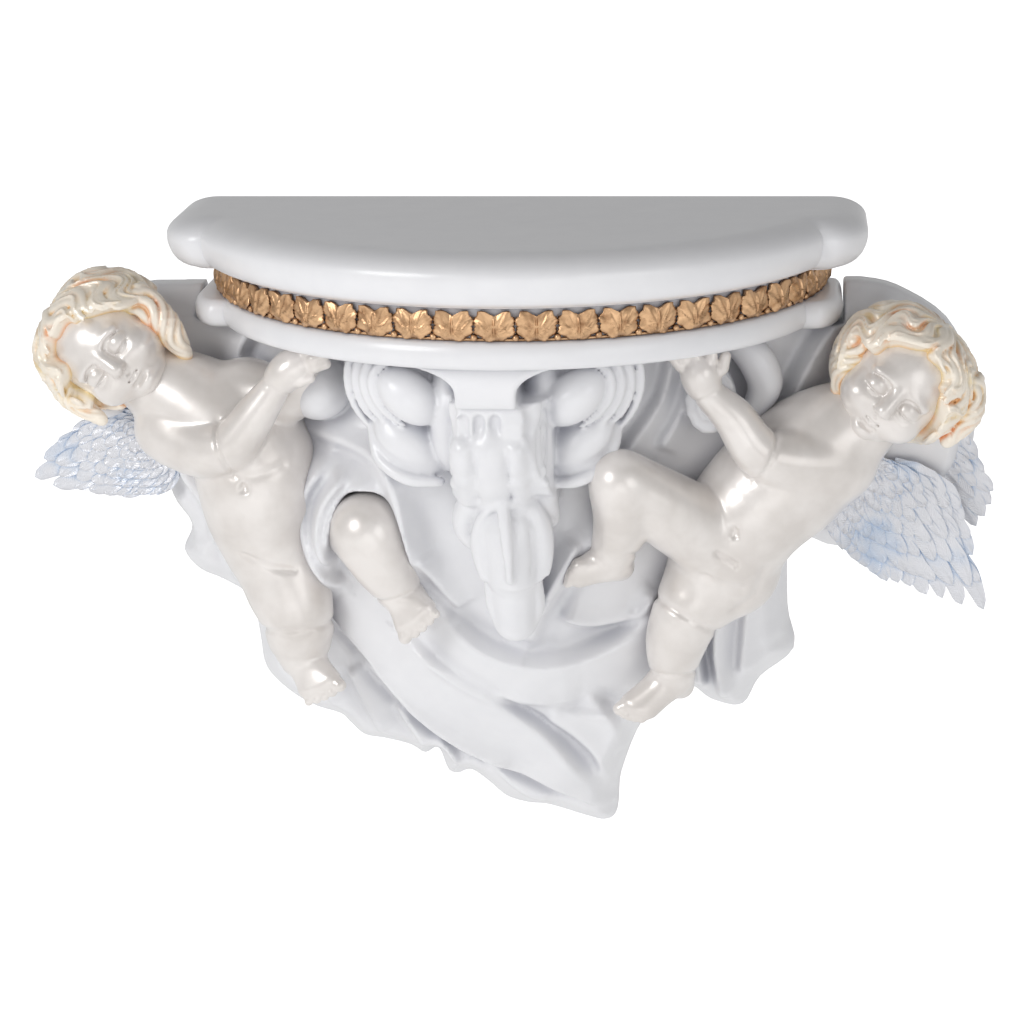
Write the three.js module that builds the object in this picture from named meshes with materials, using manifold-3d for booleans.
// A wall corbel: a half-round moulded shelf with a gilt leaf garland, carried by a draped
// bracket with a scroll console and acanthus leaf, and held up by two winged child angels.
// Millimetres, +Z up, +Y into the wall. The origin is on the flat back, where it meets the wall.
import * as THREE from 'three';
import { mergeVertices } from 'three/addons/utils/BufferGeometryUtils.js';
import Module from 'manifold-3d';

const wasm = await Module();
wasm.setup();

// Shelf
const shelfHalfWidth = 325;
const shelfTopAboveMount = 250;
const shelfDepth = 315;
const earDepth = 138;
const earReach = 42;
const earCornerWidth = 38;
const earCornerDepth = 62;
const bullnoseHeight = 46;
const bullnoseReach = 34;
const friezeHeight = 32;
const friezeInset = 30;
const torusHeight = 26;
const torusReach = 8;

// Garland
const leafCount = 25;
const leafHeight = 27;
const leafThickness = 5;
const leafCrest = 3;
const leafStandOff = 0.7;
const stemHeight = 7;
const stemThickness = 3;

// Bracket
const drapeOverhang = 111;
const drapeDrop = 521;
const drapeDepth = 168;
const hemDepth = 34;
const shoulderDepth = 26;
const drapeGrid = 40;

// Console, its leaf and its scrolls
const consoleWidth = 54;
const consoleReach = 272;
const consoleDrop = 150;
const consoleCentre = -12;
const voluteRadius = 25;
const fluteRadius = 4.5;
const fluteSpacing = 15;
const acanthusLength = 160;
const scrollSize = 38;
const scrollSpacing = 74;
const heldScrollInset = 143;
const heldScrollRadius = 31;

// Figures
const cherubHeight = 400;
const cherubPlumpness = 1.16;
const lockCount = 9;
const wingThickness = 6;
const wingRootRadius = 16;
const handGap = 2;

const clearance = 0.35;
const beddingGap = 0.5;
const underside = shelfTopAboveMount - bullnoseHeight - friezeHeight - torusHeight;
const bracketHalfWidth = shelfHalfWidth + drapeOverhang;

// The bow is the arc through the ears' inner corners and the middle of the front.
const bowRise = shelfDepth - earDepth;
const bowRadius = ((shelfHalfWidth - earReach) ** 2 + bowRise ** 2) / (2 * bowRise);
const bowCentre = shelfDepth - bowRadius;

function smoothstep(low, high, value) {
  const t = Math.min(1, Math.max(0, (value - low) / (high - low)));
  return t * t * (3 - 2 * t);
}

// Solids from three.js geometry

function solid(geometry) {
  const bare = geometry.clone();
  bare.deleteAttribute('normal');
  bare.deleteAttribute('uv');
  const merged = mergeVertices(bare, 1e-4);
  const index = merged.index ? merged.index.array : [...Array(merged.attributes.position.count).keys()];
  const triangles = [];
  for (let i = 0; i < index.length; i += 3) {
    const [a, b, c] = [index[i], index[i + 1], index[i + 2]];
    if (a !== b && b !== c && a !== c) triangles.push(a, b, c);
  }
  const vertices = merged.attributes.position.array;
  const make = (order) => new wasm.Manifold(new wasm.Mesh({
    numProp: 3,
    vertProperties: Float32Array.from(vertices),
    triVerts: Uint32Array.from(order),
  }));
  const made = make(triangles);
  if (made.volume() > 0) return made;
  return make(triangles.map((_, i) => triangles[i - (i % 3) + (2 - (i % 3))]));
}

function join(solids) {
  return solids.reduce((whole, next) => whole.add(next));
}

function largestPiece(whole) {
  return whole.decompose().reduce((best, next) => (next.volume() > best.volume() ? next : best));
}

function ringSolid(outlines) {
  const clockwise = THREE.ShapeUtils.isClockWise(outlines[0].map(([x, y]) => new THREE.Vector2(x, y)));
  const rings = clockwise ? outlines.map((outline) => [...outline].reverse()) : outlines;
  const count = rings[0].length;
  const positions = rings.flat();
  const faces = [];
  for (let r = 0; r + 1 < rings.length; r += 1) {
    for (let i = 0; i < count; i += 1) {
      const [a, b] = [r * count + i, r * count + ((i + 1) % count)];
      faces.push(a, b, b + count, a, b + count, a + count);
    }
  }
  const capOutline = (ring) => ring.map(([x, y]) => new THREE.Vector2(x, y));
  const first = THREE.ShapeUtils.triangulateShape(capOutline(rings[0]), []);
  const last = (rings.length - 1) * count;
  for (const [a, b, c] of first) {
    faces.push(a, c, b, last + a, last + b, last + c);
  }
  const geometry = new THREE.BufferGeometry();
  geometry.setAttribute('position', new THREE.Float32BufferAttribute(positions.flat(), 3));
  geometry.setIndex(faces);
  return solid(geometry);
}

// A round bar along a line of points, each [x, y, z, radius], with a domed end: the block of every
// limb, lock and leaf rib. The last ring before each pole is half way down the dome.
function chain(points, sides = 8) {
  const centres = points.map(([x, y, z]) => new THREE.Vector3(x, y, z));
  const radii = points.map((point) => point[3]);
  const last = centres.length - 1;
  const direction = (i) => centres[Math.min(i + 1, last)].clone()
    .sub(centres[Math.max(i - 1, 0)]).normalize();
  const rings = [];
  let side = new THREE.Vector3(0, 1, 0);
  const addRing = (centre, along, radius) => {
    side = side.clone().addScaledVector(along, -side.dot(along)).normalize();
    const across = new THREE.Vector3().crossVectors(along, side);
    rings.push([...Array(sides).keys()].map((k) => {
      const angle = ((k + 0.5) / sides) * 2 * Math.PI;
      return centre.clone()
        .addScaledVector(side, radius * Math.cos(angle))
        .addScaledVector(across, radius * Math.sin(angle));
    }));
  };
  const [start, finish] = [direction(0), direction(last)];
  addRing(centres[0].clone().addScaledVector(start, -0.72 * radii[0]), start, 0.7 * radii[0]);
  centres.forEach((centre, i) => addRing(centre, direction(i), radii[i]));
  addRing(centres[last].clone().addScaledVector(finish, 0.72 * radii[last]), finish, 0.7 * radii[last]);
  const positions = rings.flat();
  positions.push(centres[0].clone().addScaledVector(start, -radii[0]));
  positions.push(centres[last].clone().addScaledVector(finish, radii[last]));
  const [tail, tip] = [positions.length - 2, positions.length - 1];
  const faces = [];
  for (let k = 0; k < sides; k += 1) {
    const next = (k + 1) % sides;
    const end = (rings.length - 1) * sides;
    faces.push(tail, next, k, tip, end + k, end + next);
    for (let r = 0; r + 1 < rings.length; r += 1) {
      const [a, b] = [r * sides + k, r * sides + next];
      faces.push(a, b, b + sides, a, b + sides, a + sides);
    }
  }
  const geometry = new THREE.BufferGeometry();
  const flat = positions.flatMap((p) => p.toArray());
  geometry.setAttribute('position', new THREE.Float32BufferAttribute(flat, 3));
  geometry.setIndex(faces);
  return solid(geometry);
}

function ball(centre, radii, around = 10, down = 7, tilt = 0) {
  const geometry = new THREE.SphereGeometry(1, around, down);
  geometry.rotateX(Math.PI / 2);
  geometry.scale(...radii);
  geometry.rotateY(tilt);
  geometry.translate(...centre);
  return solid(geometry);
}

// Shelf: one plan outline, drawn at each inset of the edge profile. The bullnose and the torus have
// ears at the wall, rounded off in front; between them the frieze follows the plain bow to the wall.

function shelfOutline(inset, eared, grow = 0, arcSteps = 16) {
  const radius = bowRadius - inset + grow;
  const half = eared ? shelfHalfWidth - inset + grow : radius + 0.05 * earReach;
  const front = (eared ? earDepth - inset : 0.1 * earDepth) + grow;
  const startAngle = Math.asin((front - bowCentre) / radius);
  const room = half - radius * Math.cos(startAngle);
  const width = Math.min(earCornerWidth - 0.6 * inset, 0.9 * room);
  const depth = Math.min(earCornerDepth - 0.6 * inset, 0.5 * front);
  const right = [[half, 0]];
  for (let i = 0; i <= 3; i += 1) {
    const angle = (i / 3) * (Math.PI / 2);
    right.push([half - width + width * Math.cos(angle), -(front - depth + depth * Math.sin(angle))]);
  }
  for (let i = 0; i < arcSteps / 2; i += 1) {
    const angle = startAngle + (i / (arcSteps / 2)) * (Math.PI / 2 - startAngle);
    right.push([radius * Math.cos(angle), -bowCentre - radius * Math.sin(angle)]);
  }
  const left = right.map(([x, y]) => [-x, y]).reverse();
  return [...right, [0, -bowCentre - radius], ...left].reverse();
}

// The edge from the top down: each inset, drop and whether the outline has its ears there.
function edgeProfile() {
  const steps = 3;
  const profile = [];
  const shoulder = bullnoseHeight * 0.42;
  for (let i = 0; i <= steps; i += 1) {
    const angle = (i / steps) * (Math.PI / 2);
    profile.push([bullnoseReach * (1 - Math.sin(angle)), shoulder * (1 - Math.cos(angle)), true]);
  }
  for (let i = 1; i <= steps; i += 1) {
    const angle = (i / steps) * (Math.PI / 2);
    const fall = shoulder + (bullnoseHeight - shoulder) * Math.sin(angle);
    profile.push([bullnoseReach * 0.55 * (1 - Math.cos(angle)), fall, true]);
  }
  const friezeEnd = bullnoseHeight + friezeHeight;
  profile.push([friezeInset, bullnoseHeight + 0.08 * friezeHeight, false], [friezeInset, friezeEnd, false]);
  for (let i = 1; i <= steps; i += 1) {
    const angle = (i / steps) * Math.PI;
    profile.push([friezeInset - torusReach * Math.sin(angle), friezeEnd + torusHeight * (i / steps), true]);
  }
  return profile;
}

function shelfSolid(grow = 0) {
  const ring = ([inset, drop, eared]) => shelfOutline(inset, eared, grow).map(([x, y]) => [
    x, y === 0 ? grow : y, shelfTopAboveMount - drop]);
  const profile = edgeProfile().reverse();
  if (grow > 0) {
    profile.unshift([friezeInset, shelfTopAboveMount - underside + grow, true]);
    profile.push([bullnoseReach, -grow, true]);
  }
  return ringSolid(profile.map(ring));
}

// The room that the bracket leaves free: the shelf, and the frieze with its garland.
function shelfAndGarlandRoom() {
  const inset = friezeInset - leafStandOff - leafThickness - leafCrest - 2 * clearance;
  const heights = [underside + 1, shelfTopAboveMount - bullnoseHeight];
  const outline = shelfOutline(inset, true).map(([x, y]) => [x, y === 0 ? clearance : y]);
  return shelfSolid(beddingGap).add(ringSolid(heights.map((z) => outline.map(([x, y]) => [x, y, z]))));
}

// Garland: gilt leaves on a stem that follows the frieze

const leafOutline = [
  [-0.24, -0.5], [0.24, -0.5], [0.45, -0.08], [0.4, 0.46], [0, 0.3], [-0.4, 0.46], [-0.45, -0.08],
];

function leafSolid(pitch, placing) {
  const rim = leafOutline.map(([x, y]) => [x * pitch, (y + 0.5) * leafHeight]);
  const count = rim.length;
  const [back, crest] = [0, leafThickness + leafCrest];
  const positions = [back, leafThickness].flatMap((z) => rim.map(([x, y]) => [x, y, z]));
  positions.push([0, 0.5 * leafHeight, back], [0, 0.5 * leafHeight, crest]);
  const faces = [];
  for (let i = 0; i < count; i += 1) {
    const next = (i + 1) % count;
    faces.push(i, next, next + count, i, next + count, i + count);
    faces.push(next, i, 2 * count, i + count, next + count, 2 * count + 1);
  }
  const geometry = new THREE.BufferGeometry();
  geometry.setAttribute('position', new THREE.Float32BufferAttribute(positions.flat(), 3));
  geometry.setIndex(faces);
  return solid(geometry.applyMatrix4(placing));
}

function garlandSolid() {
  const inner = shelfOutline(friezeInset - clearance, false);
  const outer = shelfOutline(friezeInset - clearance - stemThickness, false);
  const floor = shelfTopAboveMount - bullnoseHeight - friezeHeight + clearance;
  const outline = [...inner, ...[...outer].reverse()];
  const stem = ringSolid([floor, floor + stemHeight].map((z) => outline.map(([x, y]) => [x, y, z])));
  const path = new THREE.CurvePath();
  for (let i = 0; i + 1 < inner.length; i += 1) {
    path.add(new THREE.LineCurve(new THREE.Vector2(...inner[i]), new THREE.Vector2(...inner[i + 1])));
  }
  const pitch = path.getLength() / leafCount;
  const leaves = [];
  for (let i = 0; i < leafCount; i += 1) {
    const share = (i + 0.5) / leafCount;
    const centre = path.getPointAt(share);
    const halfLeaf = 0.4 / leafCount;
    const along = path.getPointAt(share + halfLeaf).sub(path.getPointAt(share - halfLeaf)).normalize();
    const outward = new THREE.Vector3(-along.y, along.x, 0);
    if (outward.dot(new THREE.Vector3(centre.x, centre.y, 0)) < 0) outward.negate();
    const side = new THREE.Vector3(0, 0, 1).cross(outward);
    const placing = new THREE.Matrix4().makeBasis(side, new THREE.Vector3(0, 0, 1), outward);
    placing.setPosition(centre.x + leafStandOff * outward.x, centre.y + leafStandOff * outward.y, floor);
    leaves.push(leafSolid(pitch, placing));
  }
  return join([stem, ...leaves]);
}

// Drapery: a relief that hangs from the shelf. Places are shares of the bracket's half width, and
// of the drop below the shelf, so [0, 0] is under the shelf's middle and [0.18, 1] is the lowest tip.

const drapeOutline = [
  [-0.82, -0.045], [-0.92, -0.02], [-0.985, 0.08], [-0.99, 0.15], [-0.9, 0.19], [-0.81, 0.27],
  [-0.8, 0.36], [-0.76, 0.42], [-0.78, 0.47], [-0.745, 0.51], [-0.63, 0.565], [-0.612, 0.64],
  [-0.585, 0.7], [-0.49, 0.775], [-0.41, 0.805], [-0.345, 0.835], [-0.24, 0.86], [-0.19, 0.87],
  [-0.15, 0.895], [-0.1, 0.9], [0, 0.965], [0.14, 0.995], [0.18, 1], [0.205, 0.975],
  [0.21, 0.9], [0.27, 0.785], [0.36, 0.72], [0.42, 0.75], [0.49, 0.76], [0.53, 0.705],
  [0.605, 0.65], [0.59, 0.57], [0.6, 0.43], [0.7, 0.45], [0.82, 0.41], [0.96, 0.32],
  [1, 0.22], [0.99, 0.12], [0.93, 0.02], [0.82, -0.04], [0.69, -0.062],
];

// Each fold: its line, and its half width and height as shares of the drapery's depth.
const folds = [
  {
    line: [[-0.42, 0.53], [-0.33, 0.645], [-0.2, 0.74], [-0.08, 0.805], [0.04, 0.85], [0.155, 0.92]],
    width: 0.23, rise: 0.18,
  },
  {
    line: [[-0.24, 0.58], [-0.07, 0.69], [0.04, 0.75], [0.12, 0.84], [0.15, 0.93]],
    width: 0.19, rise: 0.12,
  },
  {
    line: [[-0.17, 0.51], [-0.09, 0.58], [0, 0.615], [0.1, 0.61], [0.22, 0.57], [0.3, 0.5]],
    width: 0.21, rise: 0.17,
  },
  {
    line: [[-0.46, 0.2], [-0.34, 0.2], [-0.26, 0.24], [-0.23, 0.33], [-0.21, 0.44], [-0.165, 0.51]],
    width: 0.20, rise: 0.18,
  },
  { line: [[-0.37, 0.22], [-0.43, 0.31], [-0.43, 0.41], [-0.39, 0.47]], width: 0.21, rise: 0.33 },
  { line: [[0.18, 0.34], [0.105, 0.43], [0.065, 0.5], [0.04, 0.58]], width: 0.18, rise: 0.14 },
  { line: [[0.395, 0.5], [0.39, 0.6], [0.395, 0.7]], width: 0.14, rise: 0.11 },
  { line: [[0.5, 0.44], [0.495, 0.57], [0.49, 0.69]], width: 0.15, rise: 0.13 },
  { line: [[-0.45, 0.58], [-0.43, 0.67], [-0.39, 0.75]], width: 0.17, rise: 0.10 },
  { line: [[-0.76, 0.3], [-0.7, 0.37], [-0.68, 0.45]], width: 0.18, rise: 0.11 },
  { line: [[-0.61, 0.45], [-0.57, 0.53], [-0.565, 0.62]], width: 0.17, rise: 0.11 },
  { line: [[-0.86, 0.02], [-0.72, 0.06], [-0.62, 0.15]], width: 0.20, rise: 0.10 },
  { line: [[0.62, 0.03], [0.58, 0.12], [0.6, 0.2]], width: 0.20, rise: 0.11 },
];

function nearest(x, z, line) {
  let best = { distance: Infinity, along: 0 };
  for (let i = 0; i + 1 < line.length; i += 1) {
    const [[ax, az], [bx, bz]] = [line[i], line[i + 1]];
    const [dx, dz] = [bx - ax, bz - az];
    const share = Math.min(1, Math.max(0, ((x - ax) * dx + (z - az) * dz) / (dx * dx + dz * dz)));
    const distance = Math.hypot(x - ax - share * dx, z - az - share * dz);
    if (distance < best.distance) best = { distance, along: (i + share) / (line.length - 1) };
  }
  return best;
}

function toMillimetres([x, drop]) {
  return [x * bracketHalfWidth, underside - drop * drapeDrop];
}

function drapeForward(x, z) {
  const drop = (underside - z) / drapeDrop;
  const crown = drapeDepth * (1 - 0.72 * smoothstep(0.25, 1.05, drop));
  const side = Math.exp(-((x / (0.44 * bracketHalfWidth)) ** 2));
  const shoulder = shoulderDepth * (1 - smoothstep(0.2, 0.55, drop));
  const edge = hemDepth + shoulder;
  let forward = edge + (crown - edge) * side;
  for (const { line, width, rise } of folds) {
    const { distance, along } = nearest(x, z, line.map(toMillimetres));
    const crest = 1 - smoothstep(0, width * drapeDepth, distance);
    const taper = Math.min(1, 0.35 + 4 * Math.min(along, 1 - along));
    forward += rise * drapeDepth * crest * taper;
  }
  return forward;
}

function drapeSolid() {
  const [left, right] = [-bracketHalfWidth - drapeGrid, bracketHalfWidth + drapeGrid];
  const [top, bottom] = [underside + 0.1 * drapeDrop, underside - drapeDrop - drapeGrid];
  const columns = Math.round((right - left) / drapeGrid);
  const rows = Math.round((top - bottom) / drapeGrid);
  const front = [];
  const faces = [];
  for (let row = 0; row <= rows; row += 1) {
    for (let column = 0; column <= columns; column += 1) {
      const x = left + ((right - left) * column) / columns;
      const z = bottom + ((top - bottom) * row) / rows;
      front.push([x, -drapeForward(x, z), z]);
    }
  }
  const at = (row, column) => row * (columns + 1) + column;
  for (let row = 0; row < rows; row += 1) {
    for (let column = 0; column < columns; column += 1) {
      const [a, b] = [at(row, column), at(row, column + 1)];
      const [c, d] = [at(row + 1, column + 1), at(row + 1, column)];
      faces.push(a, b, d, b, c, d);
    }
  }
  const rim = [];
  for (let column = 0; column < columns; column += 1) rim.push(at(0, column));
  for (let row = 0; row < rows; row += 1) rim.push(at(row, columns));
  for (let column = columns; column > 0; column -= 1) rim.push(at(rows, column));
  for (let row = rows; row > 0; row -= 1) rim.push(at(row, 0));
  const wallSide = rim.map((i) => [front[i][0], 0, front[i][2]]);
  const first = front.length;
  const centre = first + wallSide.length;
  rim.forEach((corner, i) => {
    const next = (i + 1) % rim.length;
    faces.push(rim[next], corner, first + i, rim[next], first + i, first + next);
    faces.push(first + next, first + i, centre);
  });
  const positions = [...front, ...wallSide, [(left + right) / 2, 0, (top + bottom) / 2]];
  const geometry = new THREE.BufferGeometry();
  geometry.setAttribute('position', new THREE.Float32BufferAttribute(positions.flat(), 3));
  geometry.setIndex(faces);
  const outline = drapeOutline.map(toMillimetres).map(([x, z]) => new THREE.Vector2(x, z));
  const shape = new THREE.Shape(outline);
  const prism = new THREE.ExtrudeGeometry(shape, { depth: 2 * consoleReach, bevelEnabled: false });
  prism.translate(0, 0, -consoleReach);
  prism.rotateX(Math.PI / 2);
  return solid(geometry).intersect(solid(prism));
}

// Console: a flared block, a scrolled body with a volute on each side, and an acanthus leaf

function sideExtrusion(points, width, centre) {
  const shape = new THREE.Shape(points.map(([forward, z]) => new THREE.Vector2(forward, z)));
  const geometry = new THREE.ExtrudeGeometry(shape, { depth: width, bevelEnabled: false });
  geometry.translate(0, 0, -width / 2);
  const basis = new THREE.Matrix4().makeBasis(
    new THREE.Vector3(0, -1, 0), new THREE.Vector3(0, 0, 1), new THREE.Vector3(-1, 0, 0));
  geometry.applyMatrix4(basis);
  geometry.translate(centre, 0, 0);
  return solid(geometry);
}

function consoleBlock() {
  const half = consoleWidth / 2;
  const flare = 0.9 * consoleWidth;
  const back = consoleReach / 3;
  const [curveStart, curveEnd, foot] = [0.05, 0.21, 0.3].map((share) => underside - share * consoleDrop);
  const shape = new THREE.Shape();
  shape.moveTo(-half - flare, underside);
  shape.quadraticCurveTo(-half, curveStart, -half, curveEnd);
  shape.lineTo(-half, foot);
  shape.lineTo(half, foot);
  shape.lineTo(half, curveEnd);
  shape.quadraticCurveTo(half, curveStart, half + flare, underside);
  const geometry = new THREE.ExtrudeGeometry(
    shape, { depth: consoleReach - back, bevelEnabled: false, curveSegments: 4 });
  geometry.rotateX(Math.PI / 2);
  geometry.translate(consoleCentre, -back, 0);
  return solid(geometry);
}

// The scrolled body's profile: shares of the console's reach and of its drop.
const consoleProfile = [
  [0.33, 0.29], [0.956, 0.29], [0.97, 0.41], [0.949, 0.56],
  [0.89, 0.75], [0.809, 0.91], [0.662, 1], [0.33, 1],
];

function consoleSolid() {
  const profile = consoleProfile.map(([forward, drop]) => [
    forward * consoleReach, underside - drop * consoleDrop]);
  const body = sideExtrusion(profile, consoleWidth, consoleCentre);
  const volute = new THREE.CylinderGeometry(voluteRadius, voluteRadius, 1.3 * consoleWidth, 14);
  volute.rotateZ(Math.PI / 2);
  volute.translate(consoleCentre, -0.765 * consoleReach, underside - 0.59 * consoleDrop);
  const flutes = [-1, 0, 1].map((i) => chain([0.36, 0.52].map((drop) => [
    consoleCentre + i * fluteSpacing, -0.966 * consoleReach, underside - drop * consoleDrop, fluteRadius,
  ]), 6));
  return join([consoleBlock(), body.subtract(join(flutes)), solid(volute)]);
}

// Each rib of the leaf: shares of its length across, down and in radius, and of the console's
// reach forward, in the order across, forward, down, radius.
const acanthusRibs = [
  [[0, 0.757, 0, 0.125], [0, 0.816, 0.288, 0.15], [0.013, 0.721, 0.613, 0.138], [0.013, 0.61, 0.863, 0.094]],
  [[-0.1, 0.75, 0.075, 0.088], [-0.225, 0.779, 0.225, 0.1], [-0.25, 0.75, 0.363, 0.069]],
  [[0.1, 0.75, 0.088, 0.088], [0.2, 0.75, 0.275, 0.094], [0.206, 0.684, 0.513, 0.069]],
  [[-0.075, 0.721, 0.4, 0.1], [-0.15, 0.647, 0.625, 0.075]],
  [[0.075, 0.735, 0.413, 0.106], [0.15, 0.618, 0.763, 0.063]],
];

function acanthusSolid() {
  const top = underside - 0.88 * consoleDrop;
  const place = ([across, forward, down, radius]) => [
    consoleCentre + across * acanthusLength, -forward * consoleReach, top - down * acanthusLength,
    radius * acanthusLength,
  ];
  return join(acanthusRibs.map((rib) => chain(rib.map(place), 5)));
}

// Rolled leaf scrolls on each side of the console, in shares of their size: across from the scroll's
// middle, forward from its front, and down. Then the scroll ends that the angels hold.
function scrollSolids() {
  const made = [];
  const front = 0.68 * consoleReach;
  for (const side of [-1, 1]) {
    const place = ([across, forward, down, radius]) => [
      consoleCentre + side * (scrollSpacing + across * scrollSize), -front - forward * scrollSize,
      underside - down * scrollSize, radius * scrollSize,
    ];
    const lump = (spot, radii, tilt) => ball(
      place([...spot, 0]).slice(0, 3), radii.map((radius) => radius * scrollSize), 8, 5, side * tilt);
    made.push(lump([0, 0, 1.1], [1, 0.9, 0.7], 0.5));
    const leaf = [[1.16, -0.42, 0.32, 0.4], [0.74, 0, 1.37, 0.37], [-0.16, 0.32, 1.9, 0.32]];
    made.push(chain(leaf.map(place), 5));
    made.push(lump([0.16, -0.47, 2.47], [1, 0.9, 0.8], 0.4));
  }
  const held = shelfHalfWidth - heldScrollInset;
  const size = heldScrollRadius;
  const spiral = [[-0.13, 4.58, 1.1, 0.65], [-0.19, 4.7, 2.13, 0.65], [0.45, 4.45, 2.7, 0.48]];
  const crescent = [[0.77, 3.8, 0.39, 0.65], [1.55, 3.74, 1.42, 0.61], [1.35, 3.6, 2.5, 0.45]];
  made.push(ball([-held, -4.13 * size, underside - 1.68 * size], [size, 1.1 * size, size], 8, 6));
  for (const line of [spiral, crescent]) {
    made.push(chain(line.map(([across, forward, down, radius]) => [
      held + across * size, -forward * size, underside - down * size, radius * size,
    ]), 6));
  }
  return join(made);
}

// Figures. Each point is [x, forward, drop, radius] in thousandths of the angel's height: x from the
// end of the shelf, forward from the wall, drop below the shelf. The fingertips stay under the shelf.

const thousandth = cherubHeight / 1000;

function poser(side, grow) {
  return ([x, forward, drop, radius]) => [
    side * shelfHalfWidth + thousandth * x,
    -thousandth * forward,
    underside - handGap - thousandth * drop,
    thousandth * cherubPlumpness * radius + grow,
  ];
}

const leftAngel = {
  side: -1,
  face: { centre: [-128, 305, 35], up: [-0.84, 0.05, 0.54], size: 143 },
  body: [
    [
      [-52, 280, 110, 68], [88, 280, 195, 100], [188, 280, 280, 115], [208, 290, 390, 110],
      [212, 280, 460, 95], [248, 270, 555, 90],
    ],
    [[118, 280, 210, 90], [195, 280, 150, 68]],
  ],
  limbs: [
    [
      [-2, 305, 230, 65], [88, 365, 260, 55], [168, 415, 250, 45], [232, 430, 165, 38],
      [295, 440, 80, 30], [322, 445, 48, 30],
    ],
    [[188, 285, 150, 62], [300, 330, 140, 50], [338, 375, 60, 30]],
    [
      [252, 270, 565, 85], [272, 290, 630, 80], [295, 305, 695, 63], [292, 290, 740, 60],
      [300, 285, 795, 40],
    ],
    [[280, 268, 820, 36], [345, 325, 850, 45], [372, 355, 865, 30]],
    [[285, 232, 542, 66], [385, 285, 500, 62], [478, 395, 445, 72]],
    [[478, 395, 450, 72], [512, 400, 525, 62], [542, 380, 605, 48]],
    [[538, 370, 630, 40], [592, 420, 645, 42], [622, 432, 675, 30]],
  ],
  fingers: [
    [[332, 450, 30, 15], [338, 452, 8, 12]], [[352, 452, 30, 15], [362, 458, 8, 12]],
    [[348, 455, 45, 15], [382, 460, 12, 12]], [[342, 460, 55, 15], [378, 470, 45, 12]],
  ],
  locks: [
    [[-68, 320, -85, 38], [8, 325, -20, 35], [52, 310, 55, 20]],
    [[-262, 305, 55, 35], [-222, 330, 145, 30], [-148, 335, 205, 18]],
  ],
};


const rightAngel = {
  side: 1,
  face: { centre: [68, 305, 110], up: [0.66, 0.05, 0.75], size: 143 },
  body: [
    [
      [8, 280, 190, 68], [-92, 285, 255, 102], [-172, 285, 330, 120], [-260, 300, 410, 112],
      [-322, 290, 515, 105], [-312, 270, 570, 95],
    ],
  ],
  limbs: [
    [
      [-65, 315, 300, 78], [-158, 380, 280, 58], [-250, 425, 245, 45], [-298, 438, 165, 38],
      [-342, 445, 90, 30], [-365, 450, 60, 32],
    ],
    [[-315, 312, 500, 82], [-438, 400, 400, 72], [-558, 470, 300, 55]],
    [[-558, 470, 305, 58], [-542, 445, 395, 52], [-555, 400, 515, 38]],
    [[-538, 385, 535, 38], [-612, 425, 545, 35], [-658, 440, 555, 22]],
    [[-342, 280, 575, 95], [-408, 315, 660, 65], [-438, 300, 745, 55], [-442, 272, 855, 40]],
    [[-432, 265, 880, 40], [-518, 310, 898, 35], [-568, 322, 925, 22]],
  ],
  fingers: [
    [[-388, 455, 40, 15], [-418, 460, 10, 12]], [[-372, 458, 35, 15], [-388, 462, 8, 12]],
    [[-355, 458, 35, 15], [-355, 462, 8, 12]], [[-338, 455, 45, 15], [-325, 460, 15, 12]],
  ],
  locks: [
    [[12, 320, 5, 35], [-48, 330, 65, 30], [-68, 320, 145, 18]],
    [[232, 305, 110, 35], [242, 305, 210, 30], [188, 300, 290, 20]],
  ],
};

// A head is a skull with a calm child's features, in a cap of hair whose ripples are its locks. The
// cap draws in where the face looks out.
function headSolids({ centre, up, size: share }, place, grow) {
  const size = thousandth * share;
  const crown = new THREE.Vector3(up[0], -up[1], up[2]).normalize();
  const ahead = new THREE.Vector3(0, -1, 0);
  ahead.addScaledVector(crown, -ahead.dot(crown)).normalize();
  const side = new THREE.Vector3().crossVectors(crown, ahead);
  const middle = new THREE.Vector3(...place([...centre, 0]).slice(0, 3));
  const spot = (across, forward, high) => middle.clone()
    .addScaledVector(side, across * size)
    .addScaledVector(ahead, forward * size)
    .addScaledVector(crown, high * size);
  const knob = (a, b, r0, r1, sides) => chain([
    [...spot(...a), r0 * size + grow], [...spot(...b), r1 * size + grow]], sides);
  const hair = new THREE.SphereGeometry(1, 2 * lockCount, 7);
  const points = hair.attributes.position;
  for (let i = 0; i < points.count; i += 1) {
    const [across, high, forward] = [points.getX(i), points.getY(i), points.getZ(i)];
    const turn = Math.atan2(across, forward);
    const ripple = Math.sin(lockCount * turn) * Math.min(1, 2.4 * Math.hypot(across, forward));
    const window = smoothstep(0.3, 0.62, forward) * (1 - smoothstep(0.34, 0.66, high));
    const reach = THREE.MathUtils.lerp(1.24 + 0.07 * ripple, 0.7, window) + grow / size;
    points.setXYZ(i, ...spot(across * reach, forward * reach - 0.1, high * reach * 0.94 + 0.1));
  }
  return [
    knob([0, 0.02, -0.3], [0, -0.05, 0.32], 0.82, 0.92, 10),
    knob([0, 0.55, -0.5], [0, 0.62, -0.62], 0.34, 0.28, 5),
    knob([0, 0.86, 0.04], [0, 0.98, -0.16], 0.08, 0.13, 4),
    knob([-0.34, 0.5, -0.22], [-0.38, 0.54, -0.36], 0.34, 0.3, 5),
    knob([0.34, 0.5, -0.22], [0.38, 0.54, -0.36], 0.34, 0.3, 5),
    solid(hair),
  ];
}

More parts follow.
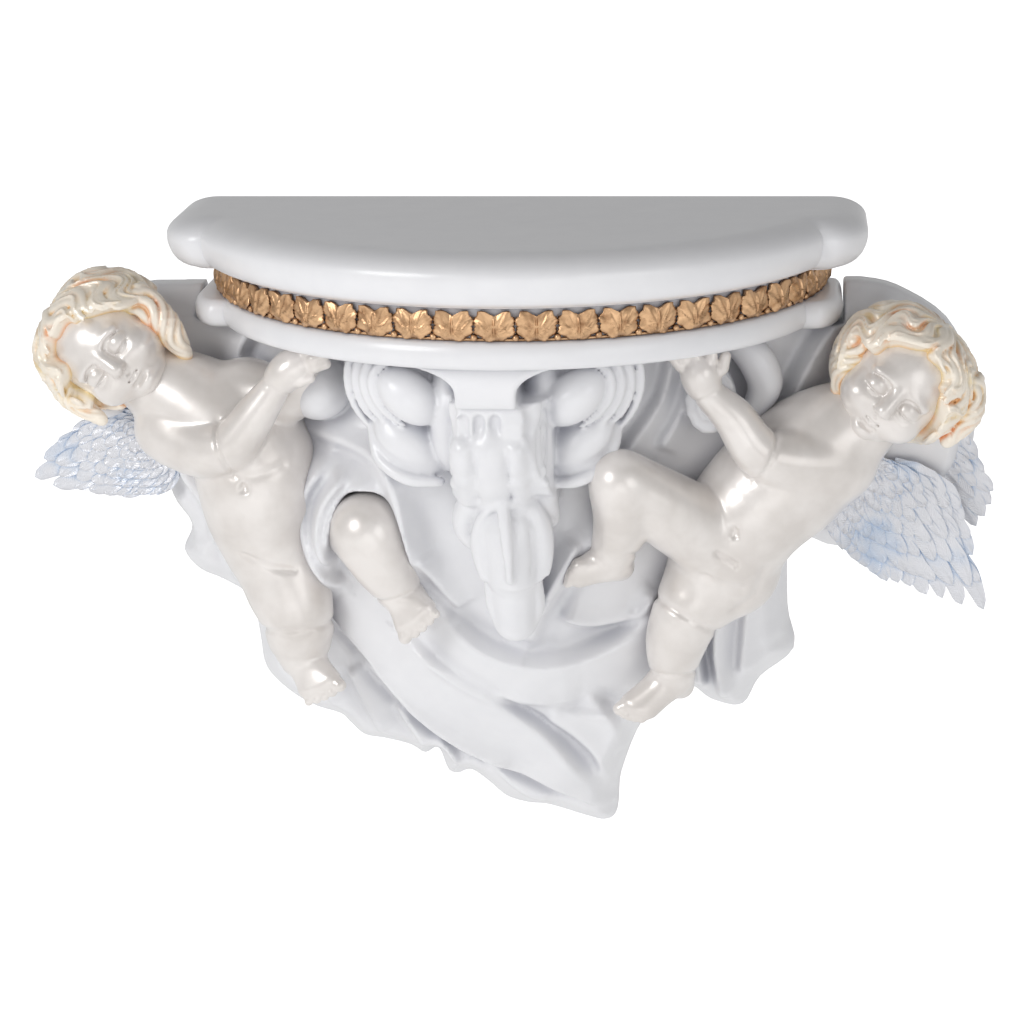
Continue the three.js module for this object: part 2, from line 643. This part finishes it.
function angelSolid(angel, grow = 0) {
  const place = poser(angel.side, grow);
  const cast = (parts, sides) => parts.map((part) => chain(part.map(place), sides));
  return join([
    ...cast(angel.body, 8),
    ...cast(angel.limbs, 6),
    ...cast(angel.locks, 5),
    ...cast(angel.fingers, 4),
    ...headSolids(angel.face, place, grow),
  ]);
}

// Wings: rows of feathers that fan out from the shoulder, each row shorter and further forward.
// A feather is [angle, length] about the root, in degrees and thousandths of the angel's height.

const wings = {
  left_angel_wing: {
    angel: leftAngel,
    root: [-68, 165, 275],
    fan: [
      [158, 140], [172, 170], [184, 222], [194, 285], [202, 325], [211, 270], [222, 225],
      [236, 195], [252, 175], [268, 165], [284, 160],
    ],
  },
  right_angel_near_wing: {
    angel: rightAngel,
    root: [13, 165, 320],
    fan: [
      [241, 205], [249, 225], [263, 265], [273, 300], [285, 340], [297, 400], [307, 475],
      [312, 405], [317, 345], [323, 295], [332, 240],
    ],
  },
  right_angel_far_wing: {
    angel: rightAngel,
    root: [38, 115, 230],
    fan: [
      [290, 240], [297, 290], [304, 345], [311, 368], [318, 355], [325, 330], [333, 275],
      [343, 210],
    ],
  },
};

function featherRow(fan, reach) {
  const [first, last] = [fan[0][0], fan[fan.length - 1][0]];
  const root = wingRootRadius * reach;
  const outline = [last + 90, (first + last) / 2 + 180, first - 90].map((degrees) => {
    const radians = (degrees * Math.PI) / 180;
    return [root * Math.cos(radians), root * Math.sin(radians)];
  });
  fan.forEach(([angle, length], i) => {
    const before = i ? (angle + fan[i - 1][0]) / 2 : angle - 5;
    const after = i + 1 < fan.length ? (angle + fan[i + 1][0]) / 2 : angle + 5;
    const turn = [[before, 0.84], [before * 0.3 + angle * 0.7, 1], [after * 0.5 + angle * 0.5, 0.97]];
    for (const [degrees, share] of turn) {
      const radians = (degrees * Math.PI) / 180;
      const tip = thousandth * length * share * reach;
      outline.push([tip * Math.cos(radians), tip * Math.sin(radians)]);
    }
  });
  return outline.map(([x, z]) => new THREE.Vector2(x, z));
}

function wingSolid({ angel, root, fan }, grow = 0) {
  const [x, y, z] = poser(angel.side, 0)([...root, 0]);
  const rows = [1, 0.6].map((reach, i) => {
    const shape = new THREE.Shape(featherRow(fan, reach + grow / wingRootRadius));
    const depth = wingThickness + 2 * grow;
    const geometry = new THREE.ExtrudeGeometry(shape, { depth, bevelEnabled: false });
    geometry.rotateX(Math.PI / 2);
    geometry.translate(x, y - i * 0.75 * wingThickness + grow, z);
    return solid(geometry);
  });
  return join(rows);
}

// The shared places: a piece bedded in another is cut from it, with the clearance all round

const angels = { left_angel: leftAngel, right_angel: rightAngel };
const shelf = shelfSolid();
const shelfRoom = shelfSolid(clearance);
const solids = { shelf, leaf_garland: garlandSolid().subtract(shelfRoom) };

for (const [name, angel] of Object.entries(angels)) {
  solids[name] = largestPiece(angelSolid(angel).subtract(shelfRoom));
}
const angelRoom = join(Object.values(angels).map((angel) => angelSolid(angel, beddingGap)));
let wingRoom = null;
for (const [name, wing] of Object.entries(wings)) {
  const others = wingRoom ? angelRoom.add(wingRoom) : angelRoom;
  solids[name] = largestPiece(wingSolid(wing).subtract(others));
  const room = wingSolid(wing, beddingGap);
  wingRoom = wingRoom ? wingRoom.add(room) : room;
}
const bracket = join([drapeSolid(), consoleSolid(), acanthusSolid(), scrollSolids()]);
solids.bracket = largestPiece(bracket.subtract(join([shelfAndGarlandRoom(), angelRoom, wingRoom])));

// Meshes

const finishes = {
  shelf: { color: 0xebebed, roughness: 0.28, metalness: 0 },
  leaf_garland: { color: 0xb98553, roughness: 0.36, metalness: 0.85 },
  bracket: { color: 0xe8e8ea, roughness: 0.3, metalness: 0 },
  left_angel: { color: 0xe6e1db, roughness: 0.25, metalness: 0.05 },
  right_angel: { color: 0xe6e1db, roughness: 0.25, metalness: 0.05 },
  left_angel_wing: { color: 0xc9d5e4, roughness: 0.32, metalness: 0.1 },
  right_angel_near_wing: { color: 0xc9d5e4, roughness: 0.32, metalness: 0.1 },
  right_angel_far_wing: { color: 0xc9d5e4, roughness: 0.32, metalness: 0.1 },
};

const corbel = new THREE.Group();
for (const [name, made] of Object.entries(solids)) {
  const { vertProperties, triVerts } = made.getMesh();
  const geometry = new THREE.BufferGeometry();
  geometry.setAttribute('position', new THREE.BufferAttribute(vertProperties, 3));
  geometry.setIndex(new THREE.BufferAttribute(triVerts, 1));
  geometry.computeVertexNormals();
  const mesh = new THREE.Mesh(geometry, new THREE.MeshStandardMaterial(finishes[name]));
  mesh.name = name;
  corbel.add(mesh);
}

export default corbel;
